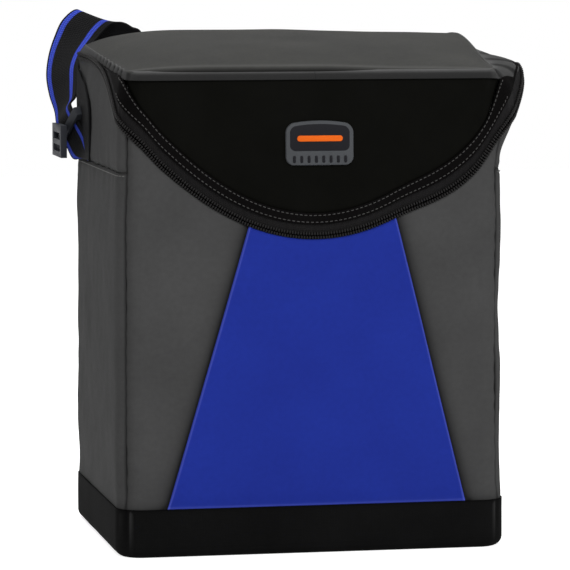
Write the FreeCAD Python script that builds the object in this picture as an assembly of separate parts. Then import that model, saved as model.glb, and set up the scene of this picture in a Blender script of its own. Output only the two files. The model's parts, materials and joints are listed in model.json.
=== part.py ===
import FreeCAD, Part
import math
import os

from FreeCAD import Vector

# Soft insulated lunch bag with a zipped domed lid and a webbing shoulder strap.
# Millimetres. The origin is on the floor under the middle of the bag, the front faces -Y and +Z is up.

# Body
body_width = 278.0
body_depth = 212.0
corner_radius = 16.0
fabric = 1.2
foam = 6.0
liner = 0.8
boot_height = 35.0
boot_wall = 1.2
boot_edge_radius = 3.0
board = 2.0
side_seam_height = 274.0
blue_top_half = 54.0
blue_bottom_half = 108.7
blue_top_height = 236.0

# Zipper line: a dip on the front, a curve round the front corner, a straight run to the hinge
hinge_height = 352.0
zip_front_low = 228.4
zip_front_rise = 81.6
zip_slope = 0.14
zip_bend_y = 10.0
zip_pole_y = -45.0
zip_end_gap = 16.0
tooth_gap = 0.6
tooth_reach = 3.0
tooth_depth = 2.4
tape = 0.6
tape_reach = 12.0
fabric_setback = 3.3
trim_low = 8.0
trim_high = 16.0
stop_length = 3.0

# Lid
lid_front_edge = 347.0
lid_front_crown = 1.0
lid_middle_edge = 353.0
lid_middle_crown = 13.0
lid_back_edge = 357.0
lid_back_crown = 10.0
lid_seam_front = 341.0
lid_seam_back = 354.5
gusset_width = 9.0
pad_inset = 5.2
welt_radius = 2.0
welt_clearance = 0.3
badge_width = 49.0
badge_height = 31.0
badge_depth = 2.0
badge_radius = 5.0
badge_centre_x = 2.5
badge_centre_z = 293.0
inlay_margin = 4.0
inlay_depth = 0.8

# Zipper slider on the right side
slider_from_end = 12.0
slider_length = 11.0
slider_half = 4.5
slider_plate = 2.0
slider_clearance = 0.3
slider_post = 6.0
ear_width = 1.2
ear_height = 3.0
pin_radius = 0.7
pull_length = 26.0
pull_neck = 5.0
pull_half = 3.5
pull_thickness = 1.4
eye_radius = 1.5

# Shoulder strap
webbing_width = 30.0
webbing_thickness = 1.6
strap_gap = 0.3
anchor_from_back = 49.0
anchor_skew = 19.0
run_start = 14.0
run_end = 52.0
run_ease = 6.0
run_direction = Vector(-0.33, 0.55, 0.77).normalize()
run_lean = Vector(-0.4, 1.0, 0.0)
crest_behind = 35.0
crest_lead = 10.0
crest_turn = 22.0
loop_bend_radius = 14.0
loop_bottom_radius = 55.0
loop_upper_half = 80.0
loop_upper_drop = 102.0
loop_lower_half = 64.0
loop_lower_drop = 212.0
loop_drop = 260.0

# Strap adjuster
adjuster_width = 46.0
adjuster_plate_height = 24.0
adjuster_plate = 4.5
adjuster_band = 7.0
adjuster_wall = 2.2
adjuster_clearance = 0.4
adjuster_along = 29.0
adjuster_stand_off = 2.0
adjuster_slot_width = 33.0
adjuster_slot_height = 5.0
adjuster_bar = 4.0

# Sizes that follow from the ones above
half_width = body_width / 2
half_depth = body_depth / 2
corner_y = corner_radius - half_depth
zip_end_y = half_depth - zip_end_gap
slider_rest_y = zip_end_y - slider_from_end
floor_top = boot_wall + board
liner_floor = floor_top + foam
wall = fabric + foam + liner
reach = body_width
sky = hinge_height + body_width
slope_angle = math.atan(zip_slope)
least_radius = 1.0
welt_half = half_width - corner_radius
run_across = (run_lean - run_direction * run_lean.dot(run_direction)).normalize()
anchor = Vector(-half_width - webbing_thickness / 2, half_depth - anchor_from_back, side_seam_height)


def rounded_block(inset, bottom, top):
    """Upright block with the bag's rounded plan, set in by inset on every side."""
    x = half_width - inset
    y = half_depth - inset
    radius = max(corner_radius - inset, least_radius)
    plan = Part.makeBox(2 * x, 2 * y, top - bottom, Vector(-x, -y, bottom))
    upright = [edge for edge in plan.Edges if abs(edge.tangentAt(edge.FirstParameter).z) > 0.99]
    return plan.makeFillet(radius, upright)


def ring(outer_inset, inner_inset, bottom, top):
    """Wall between two rounded blocks."""
    return rounded_block(outer_inset, bottom, top).cut(rounded_block(inner_inset, bottom - 1, top + 1))


def slab(low, high):
    """Box between two corners."""
    size = high - low
    return Part.makeBox(size.x, size.y, size.z, low)


def prism(points, direction):
    """Solid made by pushing a flat outline along a direction."""
    return Part.Face(Part.makePolygon(points + points[:1])).extrude(direction)


def front_line(offset):
    """Lowest height and rise of the zipper line on the front, moved up square to itself by offset."""
    slope = 2 * zip_front_rise / half_width
    stretch = math.hypot(1, slope)
    end_x = half_width - offset * slope / stretch
    end_z = zip_front_low + zip_front_rise + offset / stretch
    low = zip_front_low + offset
    return low, (end_z - low) * (half_width / end_x) ** 2


def side_height(y, offset=0.0):
    """Height of the straight run of the zipper line on the sides."""
    return hinge_height - zip_slope * (half_depth - y) + offset / math.cos(slope_angle)


def above(offset):
    """All the space above the zipper line when the line is moved up by offset."""
    low, rise = front_line(offset)
    far = low + rise * (reach / half_width) ** 2
    dip = Part.BezierCurve()
    dip.setPoles([Vector(-reach, -reach, far), Vector(0, -reach, 2 * low - far), Vector(reach, -reach, far)])
    front_top = max(sky, far + 1)
    lid_front = Part.makePolygon([Vector(reach, -reach, far), Vector(reach, -reach, front_top),
                                  Vector(-reach, -reach, front_top), Vector(-reach, -reach, far)])
    front_face = Part.Face(Part.Wire([dip.toShape()] + lid_front.Edges))
    front = front_face.extrude(Vector(0, reach + corner_y, 0))

    corner = Vector(-reach, corner_y, low + rise)
    bend = Vector(-reach, zip_bend_y, side_height(zip_bend_y, offset))
    tail = Vector(-reach, reach, side_height(reach, offset))
    sweep = Part.BezierCurve()
    sweep.setPoles([corner, Vector(-reach, zip_pole_y, side_height(zip_pole_y, offset)), bend])
    outline = Part.makePolygon([bend, tail, Vector(-reach, reach, front_top),
                                Vector(-reach, corner_y, front_top), corner])
    side_face = Part.Face(Part.Wire([sweep.toShape()] + outline.Edges))
    side = side_face.extrude(Vector(2 * reach, 0, 0))
    return front.fuse(side).removeSplitter()


def under_top(drop):
    """Space below the domed top of the lid, lowered by drop."""
    sections = []
    rows = [(-half_depth, lid_front_edge, lid_front_crown),
            (0.0, lid_middle_edge, lid_middle_crown),
            (half_depth, lid_back_edge, lid_back_crown)]
    for y, edge_height, crown in rows:
        left = Vector(-half_width, y, edge_height - drop)
        right = Vector(half_width, y, edge_height - drop)
        top = Part.Arc(left, Vector(0, y, edge_height + crown - drop), right).toShape()
        low_right = Vector(half_width, y, 0)
        low_left = Vector(-half_width, y, 0)
        rest = Part.makePolygon([right, low_right, low_left, left])
        sections.append(Part.Wire([top] + rest.Edges))
    return Part.makeLoft(sections, True, False)


def lid_block(inset):
    """Lid outline set in by inset, with its domed top."""
    return rounded_block(inset, 0, sky).common(under_top(inset))


def front_space():
    return slab(Vector(-reach, -reach, -1), Vector(reach, corner_y, sky))


def zipped_space():
    """Space in front of the ends of the zipper."""
    return slab(Vector(-reach, -reach, -1), Vector(reach, zip_end_y, sky))


def corner_wedge(turns):
    """One of four wedges that meet at the corner seams: 0 front, 1 right, 2 back, 3 left."""
    corners = [Vector(-half_width, -half_depth, -1), Vector(half_width, -half_depth, -1),
               Vector(half_width, half_depth, -1), Vector(-half_width, half_depth, -1)]
    first = corners[turns]
    second = corners[(turns + 1) % 4]
    depth = min(half_width, half_depth)

    def inner(point):
        return point + Vector(-math.copysign(depth, point.x), -math.copysign(depth, point.y), 0)

    def outer(point):
        return point + Vector(math.copysign(depth, point.x), math.copysign(depth, point.y), 0)

    points = [outer(first), outer(second), inner(second)]
    if (inner(first) - inner(second)).Length > 1e-6:
        points.append(inner(first))
    return prism(points, Vector(0, 0, sky))


def body_below(offset):
    """Takes away what stands above the zipper line, but leaves the back edge up to the hinge."""
    behind = slab(Vector(-reach, zip_end_y, -1), Vector(reach, reach, sky))
    return above(offset).cut(behind).fuse(above(-welt_clearance).common(behind))


def along_hinge(radius, half_length):
    """Round bar on the hinge line of the lid."""
    start = Vector(-half_length, half_depth, hinge_height)
    return Part.makeCylinder(radius, 2 * half_length, start, Vector(1, 0, 0))


def body_pieces():
    """Outer fabric, boot, board, foam and liner of the body."""
    cut_off = body_below(-fabric_setback)
    welt = along_hinge(welt_radius, welt_half)
    shell = ring(0, fabric, floor_top, sky).cut(cut_off).cut(welt)
    front = shell.common(corner_wedge(0))
    blue_floor = blue_bottom_half + (blue_bottom_half - blue_top_half) * boot_height / (
        blue_top_height - boot_height)
    blue_sky = blue_top_half - (blue_bottom_half - blue_top_half) * (sky - blue_top_height) / (
        blue_top_height - boot_height)
    blue_sky = max(blue_sky, 1.0)
    blue_top = blue_top_height + (blue_top_half - blue_sky) * (blue_top_height - boot_height) / (
        blue_bottom_half - blue_top_half)
    blue_space = prism([Vector(-blue_floor, -reach, 0), Vector(blue_floor, -reach, 0),
                        Vector(blue_sky, -reach, blue_top), Vector(-blue_sky, -reach, blue_top)],
                       Vector(0, reach, 0))
    left_space = slab(Vector(-reach, -reach, -1), Vector(0, reach, sky))
    beside_blue = front.cut(blue_space)
    lower_space = slab(Vector(-reach, -reach, -1), Vector(reach, reach, side_seam_height))
    pieces = {
        "front_panel_centre": front.common(blue_space),
        "front_panel_left": beside_blue.common(left_space),
        "front_panel_right": beside_blue.cut(left_space),
        "back_panel": shell.common(corner_wedge(2)),
    }
    for name, turns in (("right", 1), ("left", 3)):
        side = shell.common(corner_wedge(turns))
        pieces["side_panel_" + name] = side.common(lower_space)
        pieces["side_yoke_" + name] = side.cut(lower_space)

    boot = rounded_block(-boot_wall, 0, boot_height)
    foot_edges = [edge for edge in boot.Edges if edge.BoundBox.ZMax < 0.001]
    boot = boot.makeFillet(boot_edge_radius, foot_edges)
    pieces["base_boot"] = boot.cut(rounded_block(0, boot_wall, boot_height + 1))
    pieces["base_board"] = rounded_block(0, boot_wall, floor_top)

    inside_cut = above(-tape_reach)
    pieces["foam_base"] = rounded_block(fabric, floor_top, liner_floor)
    foam_wall = ring(fabric, fabric + foam, liner_floor, sky).cut(inside_cut)
    for name, turns in (("front", 0), ("right", 1), ("back", 2), ("left", 3)):
        pieces["foam_" + name] = foam_wall.common(corner_wedge(turns))
    tray = rounded_block(fabric + foam, liner_floor, sky).cut(rounded_block(wall, liner_floor + liner, sky + 1))
    pieces["inner_liner"] = tray.cut(inside_cut)
    pieces["hinge_welt"] = welt
    return pieces


def zipper_pieces():
    """Two tape halves, two coil halves and the stops at the rear ends of the body half."""
    zipped = zipped_space()
    chain = ring(0, tooth_depth, 0, sky).common(zipped)
    tape_wall = ring(fabric, fabric + tape, 0, sky).common(zipped)
    stop_space = slab(Vector(-reach, zip_end_y - stop_length, 0), Vector(reach, zip_end_y, sky))
    body_chain = chain.common(above(-tooth_reach)).cut(above(-tooth_gap))
    return {
        "zipper_teeth_body": body_chain.cut(stop_space),
        "zipper_end_stops": body_chain.common(stop_space),
        "zipper_teeth_lid": chain.common(above(tooth_gap)).cut(above(tooth_reach)),
        "zipper_tape_body": tape_wall.common(above(-tape_reach)).cut(above(-tooth_reach)),
        "zipper_tape_lid": tape_wall.common(above(tooth_reach)).cut(above(tape_reach)).common(lid_block(fabric)),
    }


def lid_pieces():
    """Fabric, foam and liner of the lid, with the badge on its flap."""
    shell = lid_block(0).cut(lid_block(fabric)).cut(along_hinge(welt_radius + welt_clearance, reach))
    seam_rise = (lid_seam_back - lid_seam_front) / body_depth
    seam_near = lid_seam_front - seam_rise * (reach - half_depth)
    seam_far = lid_seam_back + seam_rise * (reach - half_depth)
    top_space = prism([Vector(-reach, -reach, seam_near), Vector(-reach, reach, seam_far),
                       Vector(-reach, reach, sky + reach), Vector(-reach, -reach, sky + reach)],
                      Vector(2 * reach, 0, 0))
    zipped = zipped_space()
    front = front_space()
    over_trim = above(trim_high)
    strip_low = half_width - gusset_width
    strips = {"right": slab(Vector(strip_low, corner_y, 0), Vector(reach, zip_end_y, sky)),
              "left": slab(Vector(-reach, corner_y, 0), Vector(-strip_low, zip_end_y, sky))}
    upper = top_space.fuse(over_trim)
    behind = shell.cut(zipped).common(above(welt_clearance))
    top_panel = shell.common(zipped).common(top_space)
    pieces = {}
    for name, strip in strips.items():
        pieces["lid_gusset_" + name] = shell.common(strip).common(upper)
        top_panel = top_panel.cut(strip)
    pieces["lid_top_panel"] = top_panel.fuse(behind).removeSplitter()
    pieces["lid_flap"] = shell.common(front).common(over_trim).cut(top_space)
    pieces["lid_trim"] = shell.common(zipped).common(above(trim_low)).cut(upper)

    pad = rounded_block(pad_inset, 0, sky)
    foam_pad = pad.common(under_top(fabric)).cut(under_top(fabric + foam))
    foam_front = lid_block(fabric).cut(lid_block(fabric + foam)).common(front).common(above(tape_reach))
    pieces["lid_foam"] = foam_pad.fuse(foam_front).removeSplitter()
    liner_pad = pad.common(under_top(fabric + foam)).cut(under_top(wall))
    liner_front = lid_block(fabric + foam).cut(lid_block(wall)).common(front).common(above(tape_reach))
    pieces["lid_liner"] = liner_pad.fuse(liner_front).removeSplitter().cut(pieces["lid_foam"])

    def plate(width, height, radius, near, far):
        block = slab(Vector(badge_centre_x - width / 2, near, badge_centre_z - height / 2),
                     Vector(badge_centre_x + width / 2, far, badge_centre_z + height / 2))
        level = [edge for edge in block.Edges if abs(edge.tangentAt(edge.FirstParameter).y) > 0.99]
        return block.makeFillet(radius, level)

    badge_face = -half_depth - badge_depth
    inlay = plate(badge_width - 2 * inlay_margin, badge_height - 2 * inlay_margin,
                  max(badge_radius - inlay_margin, least_radius), badge_face, badge_face + inlay_depth)
    pieces["badge_inlay"] = inlay
    pieces["badge_patch"] = plate(badge_width, badge_height, badge_radius, badge_face, -half_depth).cut(inlay)
    return pieces


def on_right_chain(shape):
    """Places a shape built about the zipper line, with X out of the side, at the slider's resting place."""
    shape.rotate(Vector(0, 0, 0), Vector(1, 0, 0), math.degrees(slope_angle))
    shape.translate(Vector(half_width, slider_rest_y, side_height(slider_rest_y)))
    return shape


def slider_pieces():
    """Slider that straddles both coil halves, and the pull that flips on its pin."""
    half = slider_length / 2
    outer_face = slider_clearance + slider_plate
    inner_face = tooth_depth + slider_clearance + slider_plate
    outer = slab(Vector(slider_clearance, -half, -slider_half), Vector(outer_face, half, slider_half))
    inner = slab(Vector(-inner_face, -half, -slider_half),
                 Vector(-inner_face + slider_plate, half, slider_half))
    post_half = tooth_gap - slider_clearance
    post = slab(Vector(-inner_face, half - slider_post, -post_half), Vector(outer_face, half, post_half))
    pin_x = outer_face + eye_radius + slider_clearance
    ear_inner = pull_half - ear_width
    body = outer.fuse([inner, post])
    for side in (-1, 1):
        near = side * ear_inner
        far = side * pull_half
        ear = slab(Vector(outer_face, -eye_radius, min(near, far)),
                   Vector(outer_face + ear_height, eye_radius, max(near, far)))
        body = body.fuse(ear)
    body = body.fuse(Part.makeCylinder(pin_radius, 2 * pull_half, Vector(pin_x, 0, -pull_half), Vector(0, 0, 1)))

    eye_half = ear_inner - slider_clearance
    eye = Part.makeCylinder(eye_radius, 2 * eye_half, Vector(pin_x, 0, -eye_half), Vector(0, 0, 1))
    neck = slab(Vector(pin_x - pull_thickness / 2, -pull_neck, -eye_half),
                Vector(pin_x + pull_thickness / 2, 0, eye_half))
    tab = slab(Vector(pin_x - pull_thickness / 2, -pull_length, -pull_half),
               Vector(pin_x + pull_thickness / 2, -pull_neck, pull_half))
    bore = Part.makeCylinder(pin_radius + slider_clearance / 2, 2 * pull_half,
                             Vector(pin_x, 0, -pull_half), Vector(0, 0, 1))
    pull = eye.fuse([neck, tab]).cut(bore)
    return {"slider_body": on_right_chain(body.removeSplitter()),
            "slider_pull": on_right_chain(pull.removeSplitter())}


def webbing(edges, lead_in, lead_out):
    """Webbing through pairs of edge points, front edge first. The leads give its direction at the ends."""
    middles = [(front + back) * 0.5 for front, back in edges]
    sections = []
    for index, (front, back) in enumerate(edges):
        if index == 0:
            along = lead_in
        elif index == len(edges) - 1:
            along = lead_out
        else:
            along = middles[index + 1] - middles[index - 1]
        thick = along.cross(back - front)
        thick.normalize()
        thick = thick * (webbing_thickness / 2)
        sections.append(Part.makePolygon([front + thick, back + thick, back - thick, front - thick,
                                          front + thick]))
    return Part.makeLoft(sections, True, True)


def run_edges(along):
    """Front and back edge of the left strap end at a distance along its straight leaning run."""
    middle = anchor + run_direction * along
    return (middle - run_across * (webbing_width / 2), middle + run_across * (webbing_width / 2))


def flat_edges(point):
    """Edges of webbing that lies with its width along Y."""
    half = Vector(0, webbing_width / 2, 0)
    return (point - half, point + half)


def flipped(pair):
    """The same edges on the other side of the bag."""
    return tuple(Vector(-point.x, point.y, point.z) for point in pair)


def beside(out, behind, rise):
    """Point off the upper back corner on the left: out from the side, behind the back, above the hinge."""
    return Vector(-half_width - out, half_depth + behind, hinge_height + rise)


def crest_points():
    """Where the free loop leaves the left and the right strap end."""
    left = beside(-39, crest_behind, 22.5)
    right = beside(-21, crest_behind, -15)
    return left, Vector(-right.x, right.y, right.z)


def strap_pieces():
    """Left and right ends of the webbing and the free loop that hangs behind the bag."""
    crest_left, crest_right = crest_points()
    across = (crest_right - crest_left).normalize()
    skew = Vector(0, anchor_skew, 0)
    seam_end = (anchor - skew, anchor + skew)
    left_edges = [
        seam_end,
        run_edges(run_start),
        run_edges(run_start + run_ease),
        run_edges(run_end - run_ease),
        run_edges(run_end),
        (beside(7, -26, -20), beside(21.5, -2, -34)),
        (beside(4, -13, -8), beside(22.5, 9, -20)),
        (beside(-6.5, 12, 1.5), beside(18, 27, -1)),
        (beside(-15, 20, 15.5), beside(6, 41, 17)),
        (beside(-22, 21, 22), beside(-6, 46, 28)),
        flat_edges(crest_left - across * crest_lead),
        flat_edges(crest_left - across * (strap_gap / 2)),
    ]
    right_edges = [
        flat_edges(crest_right + across * (strap_gap / 2)),
        flat_edges(crest_right + across * crest_lead),
        flipped((beside(7, 12, -17), beside(8, 41, -24))),
        flipped((beside(15, -8, -27), beside(19, 16, -44))),
        flipped(run_edges(run_end - run_start / 2)),
        flipped(run_edges(run_start)),
        flipped(seam_end),
    ]
    return {
        "strap_end_left": webbing(left_edges, Vector(0, 0, 1), across),
        "strap_end_right": webbing(right_edges, across, Vector(0, 0, -1)),
        "strap_loop": loop_solid(crest_left, crest_right, across),
    }


def rounded_side(points, radii, shift):
    """Edges of a path in the XZ plane with rounded turns, moved sideways by shift."""
    count = len(points)
    runs = [(points[i + 1] - points[i]).normalize() for i in range(count - 1)]
    across = [Vector(run.z, 0, -run.x) for run in runs]
    edges = []
    last = points[0] + across[0] * shift
    for index in range(1, count - 1):
        into = runs[index - 1]
        out = runs[index]
        turn = into.getAngle(out)
        side = 1 if across[index - 1].dot(out) > 0 else -1
        cut_back = radii[index - 1] * math.tan(turn / 2)
        start = points[index] - into * cut_back
        end = points[index] + out * cut_back
        centre = start + across[index - 1] * (side * radii[index - 1])
        radius = radii[index - 1] - side * shift
        first = start + across[index - 1] * shift
        final = end + across[index] * shift
        middle_way = points[index] - centre
        middle_way.normalize()
        edges.append(Part.LineSegment(last, first).toShape())
        edges.append(Part.Arc(first, centre + middle_way * radius, final).toShape())
        last = final
    edges.append(Part.LineSegment(last, points[-1] + across[-1] * shift).toShape())
    return edges


def loop_solid(crest_left, crest_right, across):
    """Hanging loop: a flat path in the XZ plane, as wide as the webbing along Y."""
    behind = half_depth + crest_behind
    hanging = [Vector(-loop_upper_half, behind, hinge_height - loop_upper_drop),
               Vector(-loop_lower_half, behind, hinge_height - loop_lower_drop)]
    bottom = Vector(0, behind, hinge_height - loop_drop)
    other = [Vector(-point.x, point.y, point.z) for point in reversed(hanging)]
    points = [crest_left + across * (strap_gap / 2), crest_left + across * crest_turn] + hanging
    points += [bottom] + other
    points += [crest_right - across * crest_turn, crest_right - across * (strap_gap / 2)]
    radii = [loop_bend_radius] + [loop_bottom_radius] * (len(points) - 4) + [loop_bend_radius]
    half = webbing_thickness / 2
    outer = rounded_side(points, radii, half)
    inner = rounded_side(points, radii, -half)
    ends = [Part.LineSegment(outer[0].Vertexes[0].Point, inner[0].Vertexes[0].Point).toShape(),
            Part.LineSegment(outer[-1].Vertexes[-1].Point, inner[-1].Vertexes[-1].Point).toShape()]
    wire = Part.Wire(Part.__sortEdges__(outer + inner + ends))
    face = Part.Face(wire)
    face.translate(Vector(0, -webbing_width / 2, 0))
    return face.extrude(Vector(0, webbing_width, 0))


def adjuster_piece():
    """Plastic adjuster: a loop round the webbing with a slotted plate hanging outside it."""
    middle = anchor + run_direction * adjuster_along
    outward = run_across.cross(run_direction)
    if outward.x > 0:
        outward = outward * -1
    turn = FreeCAD.Rotation(run_across, outward, run_direction, "ZXY")

    def along_run(width, thickness, length, start):
        bar = Part.makeBox(width, thickness, length, Vector(-width / 2, -thickness / 2, start))
        bar.Placement = FreeCAD.Placement(middle, turn)
        return bar

    slot = webbing_thickness + 2 * adjuster_clearance
    band = along_run(adjuster_width, slot + 2 * adjuster_wall, adjuster_band, -adjuster_band / 2)
    space = along_run(webbing_width + 2 * adjuster_clearance, slot, 2 * body_width, -body_width)
    plate_x = middle.x - slot / 2 - adjuster_wall - adjuster_stand_off
    top = middle.z + adjuster_band / 2
    plate = slab(Vector(plate_x - adjuster_plate, middle.y - adjuster_width / 2, top - adjuster_plate_height),
                 Vector(plate_x, middle.y + adjuster_width / 2, top))
    window_low = top - adjuster_plate_height + adjuster_bar
    for step in range(2):
        low = window_low + step * (adjuster_slot_height + adjuster_bar)
        window = slab(Vector(plate_x - 2 * adjuster_plate, middle.y - adjuster_slot_width / 2, low),
                      Vector(plate_x + adjuster_plate, middle.y + adjuster_slot_width / 2,
                             low + adjuster_slot_height))
        plate = plate.cut(window)
    return plate.fuse(band).cut(space).removeSplitter()


def main():
    pieces = {}
    pieces.update(body_pieces())
    pieces.update(zipper_pieces())
    pieces.update(lid_pieces())
    pieces.update(slider_pieces())
    pieces.update(strap_pieces())
    pieces["strap_adjuster"] = adjuster_piece()
    os.makedirs("parts", exist_ok=True)
    for name, shape in pieces.items():
        shape.exportStep("parts/" + name + ".step")
        box = shape.BoundBox
        print(name, len(shape.Solids), shape.isValid(), round(shape.Volume),
              [round(value, 1) for value in (box.XMin, box.XMax, box.YMin, box.YMax, box.ZMin, box.ZMax)])


main()
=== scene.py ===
import json
import math
from functools import partial

import bmesh
import bpy
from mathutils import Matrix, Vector, noise


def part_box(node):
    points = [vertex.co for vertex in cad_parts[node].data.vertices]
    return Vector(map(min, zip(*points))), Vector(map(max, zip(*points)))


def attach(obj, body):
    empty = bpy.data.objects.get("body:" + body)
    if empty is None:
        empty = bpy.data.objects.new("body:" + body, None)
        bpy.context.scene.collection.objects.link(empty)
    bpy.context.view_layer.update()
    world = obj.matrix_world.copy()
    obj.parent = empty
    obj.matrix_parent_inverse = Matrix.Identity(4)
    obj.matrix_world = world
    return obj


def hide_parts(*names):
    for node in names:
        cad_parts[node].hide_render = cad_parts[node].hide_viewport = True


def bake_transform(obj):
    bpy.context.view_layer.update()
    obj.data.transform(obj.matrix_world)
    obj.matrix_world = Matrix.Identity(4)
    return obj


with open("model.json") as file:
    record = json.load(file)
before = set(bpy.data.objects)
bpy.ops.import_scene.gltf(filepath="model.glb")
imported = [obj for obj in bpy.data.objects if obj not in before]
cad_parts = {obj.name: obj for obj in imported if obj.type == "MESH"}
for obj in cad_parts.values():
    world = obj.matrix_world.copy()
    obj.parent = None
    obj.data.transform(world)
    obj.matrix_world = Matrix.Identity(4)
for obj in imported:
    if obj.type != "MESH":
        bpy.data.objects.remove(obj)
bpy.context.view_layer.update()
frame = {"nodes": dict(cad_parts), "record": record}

# Sizes in metres, read from the frame where it holds them
board_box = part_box("base_board")
half_width = board_box[1].x
half_depth = board_box[1].y
board_low = board_box[0].z
board_high = board_box[1].z
joints = {joint["name"]: joint for joint in frame["record"]["behaviour"]["joints"]}
hinge_height = joints["lid_hinge"]["pos_m"][2]
boot_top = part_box("base_boot")[1].z
side_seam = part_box("side_panel_left")[1].z
liner_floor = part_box("foam_base")[1].z
corner_radius = 0.016
cloth = 0.0012
foam_face = 0.0028
foam_back = 0.0072
liner_face = 0.0073
liner_back = 0.0081

# Zipper line
zip_low = 0.2284
zip_rise = 0.0816
zip_slope = 0.14
zip_bend_y = 0.010
zip_pole_y = -0.045
zip_rear_y = half_depth - 0.016
tooth_gap = 0.0006
tape_reach = 0.0120
tape_depth = 0.0024
trim_low = 0.0080
trim_high = 0.0160

# Lid
lid_seam_front = 0.341
lid_seam_back = 0.3545
lid_tuck = 0.004
back_roll = 0.012
back_edge = hinge_height + 0.0022
full_flare = 0.0185

# Body panels
blue_top_half = 0.054
blue_bottom_half = 0.1087
blue_top_height = 0.236
panel_floor = boot_top - 0.008
seam_roll = 0.0016
seam_reach = 0.006
seam_half_gap = 0.0002

# Strap
webbing_width = 0.030
webbing_thickness = 0.0016

# Plan of the bag: arc length from the middle of the front, growing to the right
front_end = half_width - corner_radius
corner_end = front_end + corner_radius * math.pi / 2
side_end = corner_end + 2 * (half_depth - corner_radius)
back_corner_end = side_end + corner_radius * math.pi / 2
back_middle = back_corner_end + front_end
corner_seam = front_end + corner_radius * math.pi / 4
back_seam = side_end + corner_radius * math.pi / 4
far_back_seam = 2 * back_middle - back_seam
zip_rear = corner_end + zip_rear_y - (corner_radius - half_depth)
sides = ((-1, "left"), (1, "right"))


def clamp(value, low=0.0, high=1.0):
    return max(low, min(high, value))


def smooth(value):
    value = clamp(value)
    return value * value * (3 - 2 * value)


def mix(first, second, share):
    return first + (second - first) * share


def ramp(value, start, width):
    """Smooth step from 0 at the start to 1 a width further on."""
    return smooth((value - start) / width)


def fade(distance, reach):
    """1 at no distance, dying away."""
    return math.exp(-distance / reach)


def bell(value, middle, width):
    """1 at the middle, dying away on both sides."""
    return math.exp(-((value - middle) / width) ** 2)


def level(height):
    """Edge that keeps one height all round."""
    return lambda s: height


def plan_point(s):
    """Point and outward direction on the bag's plan at arc length s."""
    side = 1.0 if s >= 0 else -1.0
    run = abs(s)
    if run <= front_end:
        x, y, nx, ny = run, -half_depth, 0.0, -1.0
    elif run <= corner_end:
        turn = (run - front_end) / corner_radius
        nx, ny = math.sin(turn), -math.cos(turn)
        x = front_end + corner_radius * nx
        y = corner_radius - half_depth + corner_radius * ny
    elif run <= side_end:
        x, y, nx, ny = half_width, corner_radius - half_depth + run - corner_end, 1.0, 0.0
    elif run <= back_corner_end:
        turn = (run - side_end) / corner_radius
        nx, ny = math.cos(turn), math.sin(turn)
        x = front_end + corner_radius * nx
        y = half_depth - corner_radius + corner_radius * ny
    else:
        x, y, nx, ny = front_end - (run - back_corner_end), half_depth, 0.0, 1.0
    return side * x, y, side * nx, ny


def off_plan(s, out, z):
    """Point at height z, moved out from the plan."""
    x, y, nx, ny = plan_point(s)
    return Vector((x + nx * out, y + ny * out, z))


def dip_line(offset):
    """Lowest height and rise of the zipper line on the front, moved up square to itself."""
    slope = 2 * zip_rise / half_width
    stretch = math.hypot(1, slope)
    end_x = half_width - offset * slope / stretch
    low = zip_low + offset
    return low, (zip_low + zip_rise + offset / stretch - low) * (half_width / end_x) ** 2


def straight_run(y, offset):
    return hinge_height - zip_slope * (half_depth - y) + offset * math.hypot(1, zip_slope)


def zip_lean(s):
    """How far the slack right corner lets the zipper line sag and ride up, and the left corner lifts it."""
    if s <= 0:
        ease_drop, ease_start, ease_reach = 0.063, 0.119, 0.058
        eased = hinge_height - ease_drop * fade(-s - ease_start, ease_reach)
        return (eased - zip_plain(s, 0.0)) * ramp(-s, 0.104, 0.022)
    sag_middle = 0.116
    sag_reach = 0.060 if s < sag_middle else 0.032
    sag = 0.012 * smooth(1 - abs(s - sag_middle) / sag_reach)
    lift = 0.022 * ramp(s, 0.136, 0.042) * (1 - ramp(s, 0.174, 0.050))
    return lift - sag


def zip_height(s, offset=0.0):
    """Height of the zipper line at arc length s, moved up by offset."""
    return zip_plain(s, offset) + zip_lean(s)


def zip_plain(s, offset):
    """Height of the frame's zipper line."""
    x, y, _, _ = plan_point(s)
    low, rise = dip_line(offset)
    if abs(s) <= corner_end:
        return low + rise * (x / half_width) ** 2
    start = corner_radius - half_depth
    if y >= zip_bend_y:
        return straight_run(y, offset)
    a = start - 2 * zip_pole_y + zip_bend_y
    b = 2 * (zip_pole_y - start)
    t = (-b + math.sqrt(max(b * b - 4 * a * (start - y), 0.0))) / (2 * a)
    ends = (low + rise, straight_run(zip_pole_y, offset), straight_run(zip_bend_y, offset))
    return (1 - t) ** 2 * ends[0] + 2 * t * (1 - t) * ends[1] + t * t * ends[2]


def along_depth(y, front, middle, back):
    """Quadratic through three heights at the front, the middle and the back."""
    t = y / half_depth
    return middle + (back - front) / 2 * t + ((back + front) / 2 - middle) * t * t


def left_edge(y):
    return along_depth(y, 0.3450, 0.3515, 0.3585)


def right_edge(y):
    return 0.3450 + 0.0222 * ramp(y, -half_depth, 0.130) - 0.0045 * ramp(y, 0.03, 0.07)


def lid_top_z(across, y):
    """Height of the padded top at a share of its half width: steep at the left, square at the right."""
    crown = along_depth(y, 0.3465, 0.3640, 0.3665) + 0.0032 * clamp(1 - (y / half_depth) ** 4)
    crown -= 0.0022 * smooth(across / 0.6)
    edge = left_edge(y) if across < 0 else right_edge(y)
    return crown + (edge - crown) * abs(across) ** 6


def edge_at(s):
    """Height of the top's edge above arc length s. It rolls down to the hinge at the back."""
    x, y, _, _ = plan_point(s)
    edge = mix(left_edge(y), right_edge(y), clamp(x / half_width / 2 + 0.5))
    turn = math.asin(clamp((y - half_depth + back_roll) / back_roll))
    return mix(edge, back_edge, 1 - math.cos(turn))


def lid_height(s):
    """Height of the lid's side, from the zipper line to the top's edge."""
    least = 0.003
    return max(edge_at(s) - zip_height(s), least)


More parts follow.
